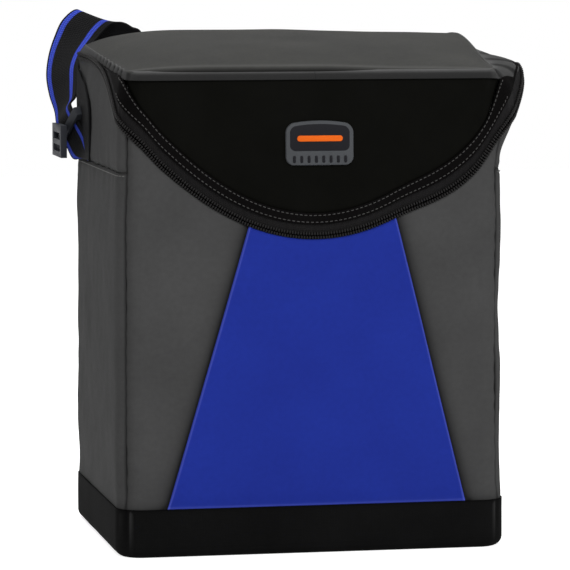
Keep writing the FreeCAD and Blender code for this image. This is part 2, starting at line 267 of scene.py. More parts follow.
def lid_up(s, offset):
    """Nominal height at a distance from the zipper line, measured over the lid's side."""
    height = lid_height(s)
    over = math.hypot(height, flare(s) * 1.1)
    return zip_height(s) + (zip_height(s, offset) - zip_height(s)) * height / over


def flare_share(s):
    return clamp(flare(s) / full_flare)


def gusset_low(s):
    """Lower edge of the gusset: level with the front roll, and lower where the chain pushes the cloth out."""
    return lid_seam(plan_point(s)[1]) - 0.012 * flare_share(s)


def trim_top(s):
    """Height of the trim's upper edge. On the sides only the tape is left of it, below the lid's seam."""
    tape_high = 0.009
    edge_gap = 0.0040
    tape = max(lid_up(s, tape_high), gusset_low(s))
    top = mix(lid_up(s, trim_high), tape, ramp(abs(s), front_end, 0.030))
    return min(top, edge_at(s) - edge_gap)


def lid_seam(y):
    return mix(lid_seam_front, lid_seam_back, (y + half_depth) / (2 * half_depth))


def flare(s):
    """How far the stiff zipper chain pushes the cloth out at arc length s."""
    run = abs(s)
    if s < 0:
        return -0.0030 * ramp(run, corner_end, 0.10) * (1 - ramp(run, 0.290, 0.040))
    peak = 0.0225
    middle = corner_end + 0.024
    reach = 0.048
    if run < middle:
        return peak * smooth(1 - (middle - run) / reach)
    return peak * (1 - ramp(run, middle + 0.004, reach))


def bow(z, top):
    """Bulge of a wall at height z, from the boot to its top."""
    return math.sin(math.pi * clamp((z - boot_top) / (top - boot_top)))


def belly(s, z):
    """Swell of the padded walls, with a slight waist at the right corner."""
    x, y, _, _ = plan_point(s)
    bow_top = 0.30
    wall_bow = bow(z, bow_top)
    stand = mix(0.0020, 0.0005, ramp(z, 0.235, 0.035))
    waist = 0.0018 if s > 0 else -0.0004
    corner = stand - waist * wall_bow
    off_middle = x / half_width
    if abs(s) <= corner_end:
        swell = stand + 0.0025 * wall_bow
    elif abs(s) <= side_end:
        off_middle = y / half_depth
        swell = stand + 0.0010 * wall_bow
    else:
        swell = 0.0020 + 0.0030 * bow(z, hinge_height)
    return mix(corner, swell, clamp(1 - off_middle ** 2))


def crinkle(s, z, size, seed):
    """Soft noise over the cloth, in waves of a size."""
    return noise.noise(Vector((s / size, z / size, seed)))


def lid_side(s, z):
    """How far out and how high the lid's cloth is at a nominal height: it bulges over the chain."""
    x = plan_point(s)[0]
    height = lid_height(s)
    share = clamp((z - zip_height(s)) / height)
    on_side = ramp(abs(s), front_end, 0.02)
    dome = 0.0030 * math.sin(math.pi * share) * clamp(1 - (x / half_width) ** 4) * (1 - on_side)
    lean = flare(s) * (1 - share ** 1.9) - lid_tuck * on_side * share ** 2
    rise = mix(share, 1 - (1 - share) ** 2.2, flare_share(s))
    out = lean + dome + belly(s, zip_height(s)) * (1 - share)
    return out, zip_height(s) + rise * height + max(z - zip_height(s) - height, 0.0)


def wall(s, z, out):
    """Point on the wall at arc length s and nominal height z, moved out by out."""
    fall = zip_height(s) - z
    if fall >= 0:
        reach = 0.026 + 0.010 * flare_share(s)
        total = flare(s) * smooth(1 - fall / reach) + belly(s, z)
    else:
        total, z = lid_side(s, z)
    return off_plan(s, total + out, z)


def boot_tuck(z):
    """Share of a panel's relief that is left near the boot's top edge."""
    return ramp(z, boot_top - 0.001, 0.012)


def seam_dip(distance, depth, width):
    """Inward roll of cloth towards a seam."""
    return -depth * (1 - smooth(distance / width))


# Mesh making
def new_object(name, data):
    """Object for a mesh, a lamp or a camera, linked to the scene."""
    item = bpy.data.objects.new(name, data)
    bpy.context.scene.collection.objects.link(item)
    return item


def shaped_object(name, shape, material):
    """New object from a finished bmesh."""
    mesh = bpy.data.meshes.new(name)
    shape.to_mesh(mesh)
    shape.free()
    mesh.materials.append(material)
    return new_object(name, mesh)


def smooth_faces(mesh):
    mesh.polygons.foreach_set("use_smooth", [True] * len(mesh.polygons))


def path_length(points):
    return sum((second - first).length for first, second in zip(points, points[1:]))


def cut_size(flats, faces, wide):
    """Width, length and area of a cloth piece's flat pattern. A curved strip is measured along its middle."""
    across, along = zip(*flats)
    area = 0.0
    for face in faces:
        corners = [flats[index] for index in face]
        for (x, y), (next_x, next_y) in zip(corners, corners[1:] + corners[:1]):
            area += (x * next_y - next_x * y) / 2
    width = max(across) - min(across)
    length = max(along) - min(along)
    area = abs(area)
    if area < 0.3 * width * length:
        first = len(flats) // wide // 2 * wide
        length = path_length([Vector(flat) for flat in flats[first:first + wide]])
        width = area / length
    return width, length, area


def grid_piece(name, columns, rows, place, material, thickness=cloth, loop=False, lining=None, flip=False):
    """Sheet of quads. place(u, v) gives a point, its flat place on the cloth and its painted light: above 0
    painted shade, below 0 painted highlight.
    """
    points, flats, painted_shades = [], [], []
    for j in range(rows + 1):
        for i in range(columns + 1):
            u = i / columns
            point, flat, seam = place(1 - u if flip else u, j / rows)
            points.append(point)
            flats.append(flat)
            painted_shades.append(seam)
    wide = columns + 1
    starts = [j * wide + i for j in range(rows) for i in range(columns)]
    faces = [(a, a + 1, a + wide + 1, a + wide) for a in starts]
    mesh = bpy.data.meshes.new(name)
    mesh.from_pydata(points, [], faces)
    cut_size(flats, faces, wide)
    layer = mesh.uv_layers.new(name="cloth")
    for corner in mesh.loops:
        layer.data[corner.index].uv = flats[corner.vertex_index]
    # The painted shade and highlight go into the "seam" attribute, which the cloth materials read.
    painted_shade_layer = mesh.attributes.new("seam", "FLOAT", "POINT")
    painted_shade_layer.data.foreach_set("value", painted_shades)
    if loop:
        shape = bmesh.new()
        shape.from_mesh(mesh)
        bmesh.ops.remove_doubles(shape, verts=shape.verts, dist=1e-5)
        shape.to_mesh(mesh)
        shape.free()
    item = new_object(name, mesh)
    mesh.materials.append(material)
    smooth_faces(mesh)
    if thickness:
        solid = item.modifiers.new("thickness", "SOLIDIFY")
        solid.thickness = thickness
        solid.offset = -1
        if lining:
            mesh.materials.append(lining)
            solid.material_offset = 1
        bake_modifiers(item)
    return item


def bake_modifiers(item):
    """Makes the modifiers part of the mesh."""
    view = bpy.context.evaluated_depsgraph_get()
    mesh = bpy.data.meshes.new_from_object(item.evaluated_get(view))
    old = item.data
    item.modifiers.clear()
    item.data = mesh
    mesh.name = old.name
    bpy.data.meshes.remove(old)


def soften_edges(item, width, segments, degrees):
    """Rounds the edges that turn by more than an angle."""
    soften = item.modifiers.new("edge", "BEVEL")
    soften.width = width
    soften.segments = segments
    soften.limit_method = "ANGLE"
    soften.angle_limit = math.radians(degrees)
    bake_modifiers(item)


def finish_piece(item, body, slot, *nodes):
    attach(item, body)
    if nodes:
        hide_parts(*nodes)


def finish_cloth(item, body, slot, under, *nodes):
    """A sewn panel, attached to its body; the pieces under it are not used."""
    finish_piece(item, body, slot, *nodes)


# Node parts
def join(tree, made, inputs):
    """Sets each input of a node to a value, or joins it to another node's output."""
    for key, value in inputs.items():
        if isinstance(value, bpy.types.NodeSocket):
            tree.links.new(value, made.inputs[key])
        else:
            made.inputs[key].default_value = value


def node(tree, kind, inputs=None, **settings):
    """New node with its settings, then its inputs."""
    made = tree.nodes.new(kind)
    for key, value in settings.items():
        setattr(made, key, value)
    join(tree, made, inputs or {})
    return made


def maths(tree, operation, *values):
    return node(tree, "ShaderNodeMath", dict(enumerate(values)), operation=operation).outputs[0]


def mixed(tree, share, first, second, blend="MIX"):
    """Mix of two colours."""
    inputs = {"Factor": share, 6: first, 7: second}
    return node(tree, "ShaderNodeMix", inputs, data_type="RGBA", blend_type=blend).outputs[2]


def bump(tree, height, strength, depth):
    inputs = {"Height": height, "Strength": strength, "Distance": depth}
    return node(tree, "ShaderNodeBump", inputs).outputs[0]


def add_group(name, kind, inputs, outputs):
    """New node group with its named sockets. Gives its tree, the outputs of its start and its end."""
    tree = bpy.data.node_groups.new(name, kind)
    for in_out, sockets in (("INPUT", inputs), ("OUTPUT", outputs)):
        for label, socket_kind in sockets.items():
            tree.interface.new_socket(name=label, in_out=in_out, socket_type="NodeSocket" + socket_kind)
    return tree, node(tree, "NodeGroupInput").outputs, node(tree, "NodeGroupOutput")


def weave_group():
    """Plain weave: threads over and under, from flat cloth coordinates in metres."""
    tree, given, end = add_group("plain_weave", "ShaderNodeTree", {"Flat": "Vector", "Threads": "Float"},
                                 {"Height": "Float", "Tone": "Float"})
    split = node(tree, "ShaderNodeSeparateXYZ", {0: given["Flat"]})
    waves = []
    for axis in (0, 1):
        turn = maths(tree, "MULTIPLY", split.outputs[axis], given["Threads"])
        waves.append(maths(tree, "SINE", maths(tree, "MULTIPLY", turn, math.pi)))
    rise = maths(tree, "ABSOLUTE", maths(tree, "MULTIPLY", *waves))
    spots = node(tree, "ShaderNodeTexNoise", {"Scale": 260.0, "Detail": 3.0, "Vector": given["Flat"]})
    join(tree, end, {"Height": rise, "Tone": maths(tree, "MULTIPLY_ADD", spots.outputs["Fac"], 0.6, 0.5)})
    return tree


def mottle_group():
    """Broad soft change of tone over the cloth."""
    tree, given, end = add_group("soft_mottle", "ShaderNodeTree", {"Place": "Vector", "Size": "Float"},
                                 {"Tone": "Float"})
    clouds = node(tree, "ShaderNodeTexNoise", {
        "Detail": 4.0, "Roughness": 0.55, "Vector": given["Place"], "Scale": given["Size"]})
    join(tree, end, {"Tone": clouds.outputs["Fac"]})
    return tree


weave = weave_group()
mottle = mottle_group()


# Materials
def linear(red, green, blue):
    """Colour on screen, 0 to 255, as a linear colour."""
    def one(value):
        value /= 255
        return value / 12.92 if value <= 0.04045 else ((value + 0.055) / 1.055) ** 2.4
    return one(red), one(green), one(blue), 1.0


def tinted(colour, share, lift=0.0):
    """Colour made darker or lighter."""
    return tuple(min(part * share + lift, 1.0) for part in colour[:3]) + (1.0,)


def new_material(name):
    material = bpy.data.materials.new(name)
    material.use_nodes = True
    return material, material.node_tree, material.node_tree.nodes["Principled BSDF"]


def woven(tree, threads):
    """Flat cloth coordinates and the outputs of the weave on them."""
    flat = node(tree, "ShaderNodeUVMap", uv_map="cloth").outputs[0]
    return flat, node(tree, "ShaderNodeGroup", {"Flat": flat, "Threads": threads}, node_tree=weave).outputs


def mottled(tree, size):
    """Place on the object and the mottling there."""
    place = node(tree, "ShaderNodeTexCoord").outputs["Object"]
    clouds = node(tree, "ShaderNodeGroup", {"Place": place, "Size": size}, node_tree=mottle)
    return place, clouds.outputs["Tone"]


def cloth_material(name, dark, light, rough, threads, depth, specular):
    """Woven cloth with soft mottling, with painted highlights along its folds and painted shade in its seams
    and creases.
    """
    material, tree, shader = new_material(name)
    dark, light = linear(*dark), linear(*light)
    _, yarn = woven(tree, threads)
    _, clouds = mottled(tree, 18.0)
    tones = node(tree, "ShaderNodeValToRGB", {"Fac": clouds})
    for element, position, colour in zip(tones.color_ramp.elements, (0.3, 0.7), (dark, light)):
        element.position = position
        element.color = colour
    # The "seam" attribute holds painted light: above 0 it is painted shade, below 0 a painted highlight.
    seam = node(tree, "ShaderNodeAttribute", attribute_name="seam").outputs["Fac"]
    fold = maths(tree, "MULTIPLY", seam, -1.0)
    cover = mixed(tree, 0.35, tones.outputs["Color"], yarn["Tone"], "MULTIPLY")
    # Painted shade: a dark tint where the attribute is above 0.
    cover = mixed(tree, seam, cover, tinted(dark, 0.25))
    # Painted highlight: a light tint where the attribute is below 0.
    cover = mixed(tree, fold, cover, tinted(light, 1.6, 0.07))
    join(tree, shader, {"Base Color": cover, "Normal": bump(tree, yarn["Height"], 0.5, depth),
                        "Roughness": rough, "Specular IOR Level": specular})
    return material


def moulded_material(name, colour, rough, grain_size, grain_depth, metallic=0.0, coat=0.0):
    """Moulded or enamelled surface with a fine grain and small changes of gloss."""
    material, tree, shader = new_material(name)
    place, clouds = mottled(tree, 60.0)
    colour = linear(*colour)
    change = 0.08
    gloss = node(tree, "ShaderNodeMapRange", {
        "Value": clouds, "To Min": rough - change, "To Max": rough + change})
    grain = node(tree, "ShaderNodeTexNoise", {"Scale": grain_size, "Vector": place})
    join(tree, shader, {"Base Color": mixed(tree, clouds, tinted(colour, 0.8), tinted(colour, 1.2)),
                        "Roughness": gloss.outputs[0],
                        "Normal": bump(tree, grain.outputs["Fac"], 0.3, grain_depth),
                        "Metallic": metallic, "Coat Weight": coat, "Specular IOR Level": 0.10})
    return material


def webbing_material(name, striped):
    """Ribbed black webbing, with a blue stripe near each edge on its outer face."""
    material, tree, shader = new_material(name)
    flat, yarn = woven(tree, 620.0)
    cover = mixed(tree, yarn["Height"], linear(8, 8, 9), linear(20, 20, 22))
    if striped:
        across = node(tree, "ShaderNodeSeparateXYZ", {0: flat}).outputs[0]
        blue = mixed(tree, yarn["Height"], linear(48, 62, 168), linear(76, 98, 226))
        for low, high in ((0.0046, 0.0082), (webbing_width - 0.0048, webbing_width - 0.0012)):
            above = maths(tree, "GREATER_THAN", across, low)
            below = maths(tree, "LESS_THAN", across, high)
            cover = mixed(tree, maths(tree, "MULTIPLY", above, below), cover, blue)
    join(tree, shader, {"Base Color": cover, "Normal": bump(tree, yarn["Height"], 0.8, 0.0006),
                        "Roughness": 0.8, "Specular IOR Level": 0.1})
    return material


grey_cloth = cloth_material("grey_cloth", (72, 72, 72), (79, 79, 79), 0.70, 1300.0, 0.0002, 0.02)
# Darker copy of the grey cloth for the lid's top: painted shade that holds back the top lamp's light there.
lid_cloth = cloth_material("lid_cloth", (65, 65, 64), (73, 73, 71), 0.70, 1300.0, 0.0002, 0.02)
blue_cloth = cloth_material("blue_cloth", (33, 50, 150), (35, 54, 158), 0.75, 1500.0, 0.0002, 0.06)
flap_cloth = cloth_material("flap_cloth", (10, 10, 8), (15, 15, 13), 0.55, 1500.0, 0.0001, 0.015)
boot_cloth = cloth_material("boot_cloth", (17, 17, 17), (22, 22, 22), 0.80, 900.0, 0.0003, 0.015)
trim_cloth = cloth_material("trim_cloth", (10, 9, 9), (17, 16, 16), 0.75, 1000.0, 0.0003, 0.015)
tape_cloth = cloth_material("tape_cloth", (18, 17, 18), (26, 25, 25), 0.75, 800.0, 0.0005, 0.10)
liner_film = cloth_material("liner_film", (165, 168, 172), (190, 192, 195), 0.35, 300.0, 0.0001, 0.4)
foam_material = moulded_material("foam_pad", (205, 205, 200), 0.85, 900.0, 0.0004)
coil_plastic = moulded_material("coil_plastic", (30, 29, 29), 0.45, 1200.0, 0.00005)
rubber_rim = moulded_material("badge_rubber", (74, 76, 79), 0.5, 1500.0, 0.0001)
rubber_dark = moulded_material("inlay_rubber", (24, 24, 28), 0.55, 1500.0, 0.0001)
rubber_orange = moulded_material("bar_rubber", (238, 104, 24), 0.5, 1500.0, 0.0001)
buckle_plastic = moulded_material("buckle_plastic", (46, 48, 53), 0.55, 1800.0, 0.0001)
slider_enamel = moulded_material("slider_enamel", (24, 24, 25), 0.35, 900.0, 0.00003, 0.6, 0.2)
board_plastic = moulded_material("board_plastic", (30, 30, 30), 0.6, 900.0, 0.0001)
thread_light = moulded_material("thread_light", (72, 71, 70), 0.7, 3000.0, 0.0001)
thread_grey = moulded_material("thread_grey", (112, 112, 110), 0.7, 3000.0, 0.0001)
webbing = webbing_material("webbing", True)
webbing_back = webbing_material("webbing_back", False)


# Body
def blue_rise(z):
    """Share of the blue piece's height."""
    return (z - boot_top) / (blue_top_height - boot_top)


def blue_half(z):
    return mix(blue_bottom_half, blue_top_half, blue_rise(z))


def blue_shift(z):
    """Sideways lean of the blue piece: it was sewn in a little to the right of the middle."""
    return mix(0.0020, 0.0060, clamp(blue_rise(z)))


def panel_top(s):
    return zip_height(s, -0.0026)


def painted_seam_shade(gap, z):
    """Painted shade beside an upright seam and above the boot."""
    return 0.8 * fade(gap, 0.0009) + 0.6 * fade(max(z - boot_top, 0.0), 0.0025)


def make_front_centre():
    """Blue piece, wider at the bottom, with folded edges that stand on the grey pieces."""
    def place(u, v):
        across = 1.5 * (2 * u - 1) - 0.5 * (2 * u - 1) ** 3
        z = mix(panel_floor, zip_low, v ** 2)
        for _ in range(4):
            s = across * blue_half(z) + blue_shift(z)
            z = mix(panel_floor, panel_top(s), v ** 2)
        gap = (1 - abs(across)) * blue_half(z)
        fold = bell(gap, 0.0008, 0.0007)
        hem_highlight = bell(z, boot_top + 0.0008, 0.0007)
        out = 0.0008 + 0.0005 * crinkle(s, z, 0.07, 3.0) + 0.0006 * fold
        out -= 0.0011 * (1 - smooth(gap / 0.0012))
        # Painted highlight along the blue piece's folded edges and along its hem.
        return wall(s, z, out * boot_tuck(z)), (s, z), -clamp(0.55 * fold + 0.4 * hem_highlight)
    item = grid_piece("front_centre_blue", 140, 110, place, blue_cloth)
    finish_cloth(item, "bag", "blue_fabric", ["foam_front"], "front_panel_centre")


def make_front_side(side, word):
    """Grey piece beside the blue one, with seam rolls, puckers and soft crinkles."""
    seed = 5.0 + side
    lap = 0.002

    def place(u, v):
        z = mix(panel_floor, zip_low, v)
        for _ in range(4):
            inner = blue_half(z) + side * blue_shift(z) - lap
            run = mix(inner, corner_seam, u)
            z = mix(panel_floor, panel_top(side * run), v)
        s = side * run
        gap_blue = run - inner
        gap = corner_seam - run
        out = seam_dip(gap, seam_roll, seam_reach)
        out += 0.0007 * crinkle(s, z, 0.055, seed) + 0.0003 * crinkle(s, z, 0.016, seed)
        out += 0.0003 * fade(gap, 0.006) * math.sin(z / 0.0021 + 3 * crinkle(s, z, 0.03, seed))
        out = out * boot_tuck(z) + seam_dip(gap_blue, 0.0012, 0.009)
        # Painted shadow beside the blue piece's edge, and painted shade in the corner seam and above the
        # boot.
        shade = 1.2 * fade(max(gap_blue - lap, 0.0), 0.0045) + painted_seam_shade(gap, z)
        return wall(s, z, out), (s, z), clamp(shade)
    item = grid_piece("front_%s_grey" % word, 90, 110, place, grey_cloth, flip=side < 0)
    finish_cloth(item, "bag", "grey_fabric", ["foam_front"], "front_panel_" + word)


def make_side(side, word, name, node_name, low, high, seed):
    """Lower side panel or yoke. low(s) and high(s) give its edges at arc length s."""
    def place(u, v):
        run = mix(corner_seam, back_seam, u)
        s = side * run
        z = mix(low(s), high(s), v)
        gap = min(run - corner_seam, back_seam - run)
        cross_gap = abs(z - side_seam)
        out = seam_dip(gap, seam_roll, seam_reach) + seam_dip(cross_gap, 0.0009, 0.005)
        out += 0.0012 * crinkle(s, z, 0.05, seed) + 0.0004 * crinkle(s, z, 0.014, seed)
        out += 0.0005 * fade(cross_gap, 0.008) * math.sin(s / 0.0035 + 4 * crinkle(s, z, 0.04, seed))
        # Painted shade in the upright seams, above the boot and along the cross seam.
        shade = painted_seam_shade(gap, z) + 0.7 * fade(cross_gap, 0.0008)
        return wall(s, z, out * boot_tuck(z)), (s, z), clamp(shade)
    item = grid_piece(name + word, 90, 100, place, grey_cloth, flip=side < 0)
    finish_cloth(item, "bag", "grey_fabric", ["foam_" + word], node_name + word)


def wrapped(run):
    """Arc length of a run that goes on to the right past the middle of the back."""
    return run if run <= back_middle else run - 2 * back_middle


def make_back():
    def place(u, v):
        run = mix(back_seam, far_back_seam, u)
        z = mix(panel_floor, hinge_height - 0.0005, v)
        gap = min(run - back_seam, far_back_seam - run)
        out = seam_dip(gap, 0.0022, seam_reach)
        out += 0.0010 * crinkle(run, z, 0.06, 21.0) + 0.0003 * crinkle(run, z, 0.018, 22.0)
        # Painted shade in the seams and above the boot.
        return wall(wrapped(run), z, out * boot_tuck(z)), (run, z), clamp(painted_seam_shade(gap, z))
    item = grid_piece("back_cloth", 110, 110, place, grey_cloth)
    finish_cloth(item, "bag", "grey_fabric", ["foam_back"], "back_panel")


def ring_run(u):
    """Arc length once round the bag, from the middle of the back, to the left, front, right and back."""
    return mix(-back_middle, back_middle, u)


def make_boot():
    """Coated skirt round the bottom, with its rounded foot and closed floor."""
    proud = 0.0009
    foot = 0.007
    foot_arc = foot * math.pi / 2
    skirt_share = 0.84

    def place(u, v):
        s = ring_run(u)
        length = clamp(v / skirt_share) * (boot_top + 0.009)
        corner = min(abs(abs(s) - corner_seam), abs(abs(s) - back_seam))
        x, y, _, _ = plan_point(s)
        relief = seam_dip(corner, 0.0006, 0.005) + 0.0005 * noise.noise(Vector((x, y, length)) / 0.03)
        # Painted shade in the corner crease, with painted highlights beside it, fading out towards the foot.
        shade = fade(corner, 0.0010) - 0.4 * bell(corner, 0.0032, 0.0012)
        shade *= 1 - smooth(length / (boot_top + 0.002))
        if length < boot_top - foot:
            out = proud + relief + belly(s, boot_top)
            # Painted shade along the boot's top edge, under the panels above it.
            shade += 0.8 * fade(length, 0.001)
            z = boot_top - length
            return off_plan(s, out, z), (s, z), clamp(shade, -0.5)
        turn = clamp((length - boot_top + foot) / foot_arc)
        angle = turn * math.pi / 2
        inward = foot * (1 - math.cos(angle)) + max(length - (boot_top - foot) - foot_arc, 0.0)
        z = foot * (1 - math.sin(angle))
        out = proud + relief * (1 - turn) + belly(s, boot_top) - inward
        floor_share = clamp((v - skirt_share) / (1 - skirt_share))
        point = off_plan(s, out, z).lerp(Vector((0, 0, z + 0.0006)), floor_share)
        return point, (s, -floor_share * half_depth), clamp(shade, -0.5)
    item = grid_piece("boot_skirt", 360, 50, place, boot_cloth, loop=True, flip=True)
    finish_piece(item, "bag", "boot_fabric", "base_boot")


make_front_centre()
for side, word in sides:
    make_front_side(side, word)
for side, word in sides:
    make_side(side, word, "side_lower_", "side_panel_", level(panel_floor), level(side_seam - seam_half_gap),
              11.0 + side)
    make_side(side, word, "side_yoke_cloth_", "side_yoke_", level(side_seam + seam_half_gap), panel_top,
              15.0 + side)
make_back()
make_boot()


# Zipper tapes, trim, flap, gussets and top of the lid
def band(name, low, high, columns, rows, material, out, thickness=cloth, waves=0.0):
    """Strip that follows the zipper line round the front and sides, from low(s) to high(s)."""
    least_height = 0.0008
    ripple_size = 0.0008

    def place(u, v):
        s = mix(-zip_rear, zip_rear, u)
        top = min(high(s), edge_at(s) - least_height)
        bottom = min(low(s), top - least_height)
        ripple = waves * math.sin(s / ripple_size)
        return wall(s, mix(bottom, top, v), out + ripple), (s, v * (top - bottom)), 0.0
    return grid_piece(name, columns, rows, place, material, thickness)


def make_lid_bands():
    body_tape = band("tape_half_body", partial(zip_height, offset=-tape_reach),
                     partial(zip_height, offset=-tooth_gap), 360, 6, tape_cloth, -tape_depth, 0.0006)
    finish_cloth(body_tape, "bag", "black_fabric", [], "zipper_tape_body")
    lid_tape = band("tape_half_lid", partial(zip_height, offset=tooth_gap),
                    partial(lid_up, offset=trim_low + 0.002), 720, 6, tape_cloth, -0.0006, 0.0006, 0.0002)
    finish_cloth(lid_tape, "lid", "black_fabric", [], "zipper_tape_lid")
    trim = band("lid_trim_band", partial(lid_up, offset=trim_low), trim_top, 360, 10, trim_cloth, 0.0010)
    finish_cloth(trim, "lid", "black_fabric", ["zipper_tape_lid"], "lid_trim")


def make_flap():
    left_lap = 0.010
    right_lap = 0.006

    def place(u, v):
        s = mix(-corner_end - left_lap, corner_end + right_lap, u)
        seam = lid_seam(plan_point(s)[1])
        low = min(trim_top(s) - 0.0015, seam - 0.001)
        z = mix(low, seam, v)
        out = 0.0006 * crinkle(s, z, 0.05, 41.0) - 0.0014 * ramp(abs(s), front_end, 0.010)
        out += seam_dip(z - low, 0.0008, 0.005)
        # Painted shade along the flap's top, under the lid's seam.
        return wall(s, z, out), (s, z), clamp(0.6 * fade(seam - z, 0.0015))
    item = grid_piece("flap_cloth_front", 180, 70, place, flap_cloth)
    finish_cloth(item, "lid", "black_fabric", ["lid_foam"], "lid_flap")


def plan_half(y, inset):
    """Half width of the plan at depth y, less an inset."""
    corner = max(corner_radius - (half_depth - abs(y)), 0.0)
    return front_end + math.sqrt(max(corner_radius ** 2 - corner ** 2, 0.0)) - inset


def make_lid_top():
    """Padded top: a domed panel, rolled under its edge at the front and down to the hinge at the back."""
    roll = 0.006
    front_share = 0.06
    back_share = 0.10
    front_y = roll - half_depth
    back_y = half_depth - back_roll
    last_y = half_depth - 0.0005

    def place(u, v):
        across = 2 * u - 1
        share = mix(-front_share, 1 + back_share, v)
        shade = 0.0
        if share < 0:
            turn = -share / front_share * math.pi / 2
            y = front_y - roll * math.sin(turn)
            z = lid_top_z(across, y) - roll * (1 - math.cos(turn))
            # Painted shade on the rolled front edge.
            shade = ramp(turn, 0.15, 0.7)
        elif share > 1:
            turn = (share - 1) / back_share * math.pi / 2
            y = back_y + back_roll * math.sin(turn)
            z = mix(lid_top_z(across, back_y), back_edge, 1 - math.cos(turn))
        else:
            y = mix(front_y, back_y, share)
            z = lid_top_z(across, y)
        x = across * plan_half(clamp(y, -last_y, last_y), lid_tuck)
        if 0 <= share <= 1:
            z += 0.0007 * crinkle(x, y, 0.05, 51.0) * (1 - abs(across) ** 3)
        # Painted highlight along the top's front and side edges.
        line = bell(share, 0.004, 0.012) + bell(abs(across), 1.0, 0.012)
        return Vector((x, y, z)), (x, y), shade - 0.22 * clamp(line)
    item = grid_piece("lid_top_cloth", 120, 120, place, lid_cloth)
    finish_cloth(item, "lid", "grey_fabric", ["lid_foam"], "lid_top_panel")


def make_gusset(side, word):
    """Strip under the edge of the lid's top: the front roll, darkened with painted shade, then the puckered
    side gusset, with painted shade in its pucker folds and a painted highlight along its top edge.
    """
    end_gap = 0.006
    lap = 0.002

    def place(u, v):
        run = mix(0.0, back_corner_end - end_gap, u)
        s = side * run
        front = 1 - ramp(run, front_end, 0.022)
        edge = edge_at(s)
        low = min(max(trim_top(s), gusset_low(s)), edge) - lap
        low = mix(low, zip_height(s) + 0.0010, ramp(run, zip_rear - 0.001, 0.002))
        z = mix(low, edge + 0.0006, v)
        fold = math.sin(s / 0.0026 + 1.2 * crinkle(s, z, 0.03, 61.0))
        puckered = (1 - front) * (1 - ramp(run, corner_end + 0.05, 0.10))
        out = 0.0010 * fold * math.sin(math.pi * v) * puckered
        out += front * (0.0016 - 0.0050 * v ** 3)
        # Painted shade on the front roll and in the pucker folds, painted highlight near the top edge.
        shade = 0.9 * clamp(-fold) * puckered * smooth((1 - v) / 0.2) + 0.8 * front * smooth((0.85 - v) / 0.3)
        return wall(s, z, out), (s, z), clamp(shade) - 0.30 * ramp(v, 0.75, 0.2)
    item = grid_piece("gusset_cloth_" + word, 560, 14, place, grey_cloth, flip=side < 0)
    finish_cloth(item, "lid", "grey_fabric", ["lid_foam"], "lid_gusset_" + word)


make_lid_bands()
make_flap()
make_lid_top()
for side, word in sides:
    make_gusset(side, word)


# Foam pads, liner and board inside the body
def pad_piece(name, columns, rows, place, body, node_name, face=foam_face):
    """Closed foam pad. place(u, v, out) gives a point at a distance from the outer cloth."""
    shape = bmesh.new()
    middle = (face + foam_back) / 2
    half = (foam_back - face) / 2
    for sign in (1, -1):
        lines = []
        for j in range(rows + 1):
            line = []
            for i in range(columns + 1):
                edge = min(i, columns - i, 2) * min(j, rows - j, 2) / 4
                puff = half * math.sqrt(edge)
                line.append(shape.verts.new(place(i / columns, j / rows, -middle + sign * puff)))
            lines.append(line)
        for near, far in zip(lines, lines[1:]):
            for i in range(columns):
                quad = (near[i], near[i + 1], far[i + 1], far[i])
                shape.faces.new(quad[::sign])
    bmesh.ops.remove_doubles(shape, verts=shape.verts, dist=1e-6)
    item = shaped_object(name, shape, foam_material)
    smooth_faces(item.data)
    finish_piece(item, body, "foam", node_name)


def foam_top(s):
    return min(zip_height(s, -tape_reach - 0.001), hinge_height - tape_reach)


def make_wall_foam(word, first, last):
    def place(u, v, out):
        s = wrapped(mix(first, last, u))
        return wall(s, mix(liner_floor, foam_top(s), v), out)
    pad_piece("foam_pad_" + word, 44, 40, place, "bag", "foam_" + word)


def make_floor_foam():
    inset = 0.0075

    def place(u, v, out):
        y = mix(inset - half_depth, half_depth - inset, v)
        half = plan_half(y, inset)
        return Vector((mix(-half, half, u), y, liner_floor - 0.0004 + foam_face + out * 0.8))
    pad_piece("foam_pad_base", 40, 40, place, "bag", "foam_base")


def make_liner():
    """Film tray: walls rolled out to the zipper tape at the top, and a floor."""
    wall_share = 0.7
    roll_share = 0.06
    roll = 0.004
    film_low = liner_floor + 0.001

    def place(u, v):
        s = ring_run(u)
        x, y, _, _ = plan_point(s)
        top = foam_top(s) + roll
        if v > wall_share:
            inward = (v - wall_share) / (1 - wall_share)
            low = wall(s, film_low, -liner_face)
            return low.lerp(Vector((0, 0, low.z)), inward), (s, smooth(inward)), 0.0
        if v < roll_share:
            turn = (1 - v / roll_share) * math.pi / 2
            out = mix(-liner_face, -tape_depth, 1 - math.cos(turn))
            return wall(s, top + roll * math.sin(turn), out), (s, top), 0.0
        z = mix(top, film_low, (v - roll_share) / (wall_share - roll_share))
        slack = 0.0007 * abs(noise.noise(Vector((x, y, 0.2 * v)) / 0.05))
        return wall(s, z, -liner_face - slack * math.sin(math.pi * v / wall_share)), (s, z), 0.0
    item = grid_piece("liner_tray", 240, 80, place, liner_film, liner_back - liner_face, loop=True)
    finish_piece(item, "bag", "liner_film", "inner_liner")


def make_board():
    """Stiff floor board with rounded corners and softened edges."""
    inset = 0.006
    steps = 160
    shape = bmesh.new()
    outline = []
    for step in range(steps):
        outline.append(shape.verts.new(off_plan(ring_run(step / steps), -inset, board_low)))
    base = shape.faces.new(outline)
    raised = bmesh.ops.extrude_face_region(shape, geom=[base])
    for part in raised["geom"]:
        if isinstance(part, bmesh.types.BMVert):
            part.co.z = board_high
    bmesh.ops.recalc_face_normals(shape, faces=shape.faces)
    item = shaped_object("floor_board", shape, board_plastic)
    soften_edges(item, 0.0005, 2, 30)
    finish_piece(item, "bag", "board_plastic", "base_board")


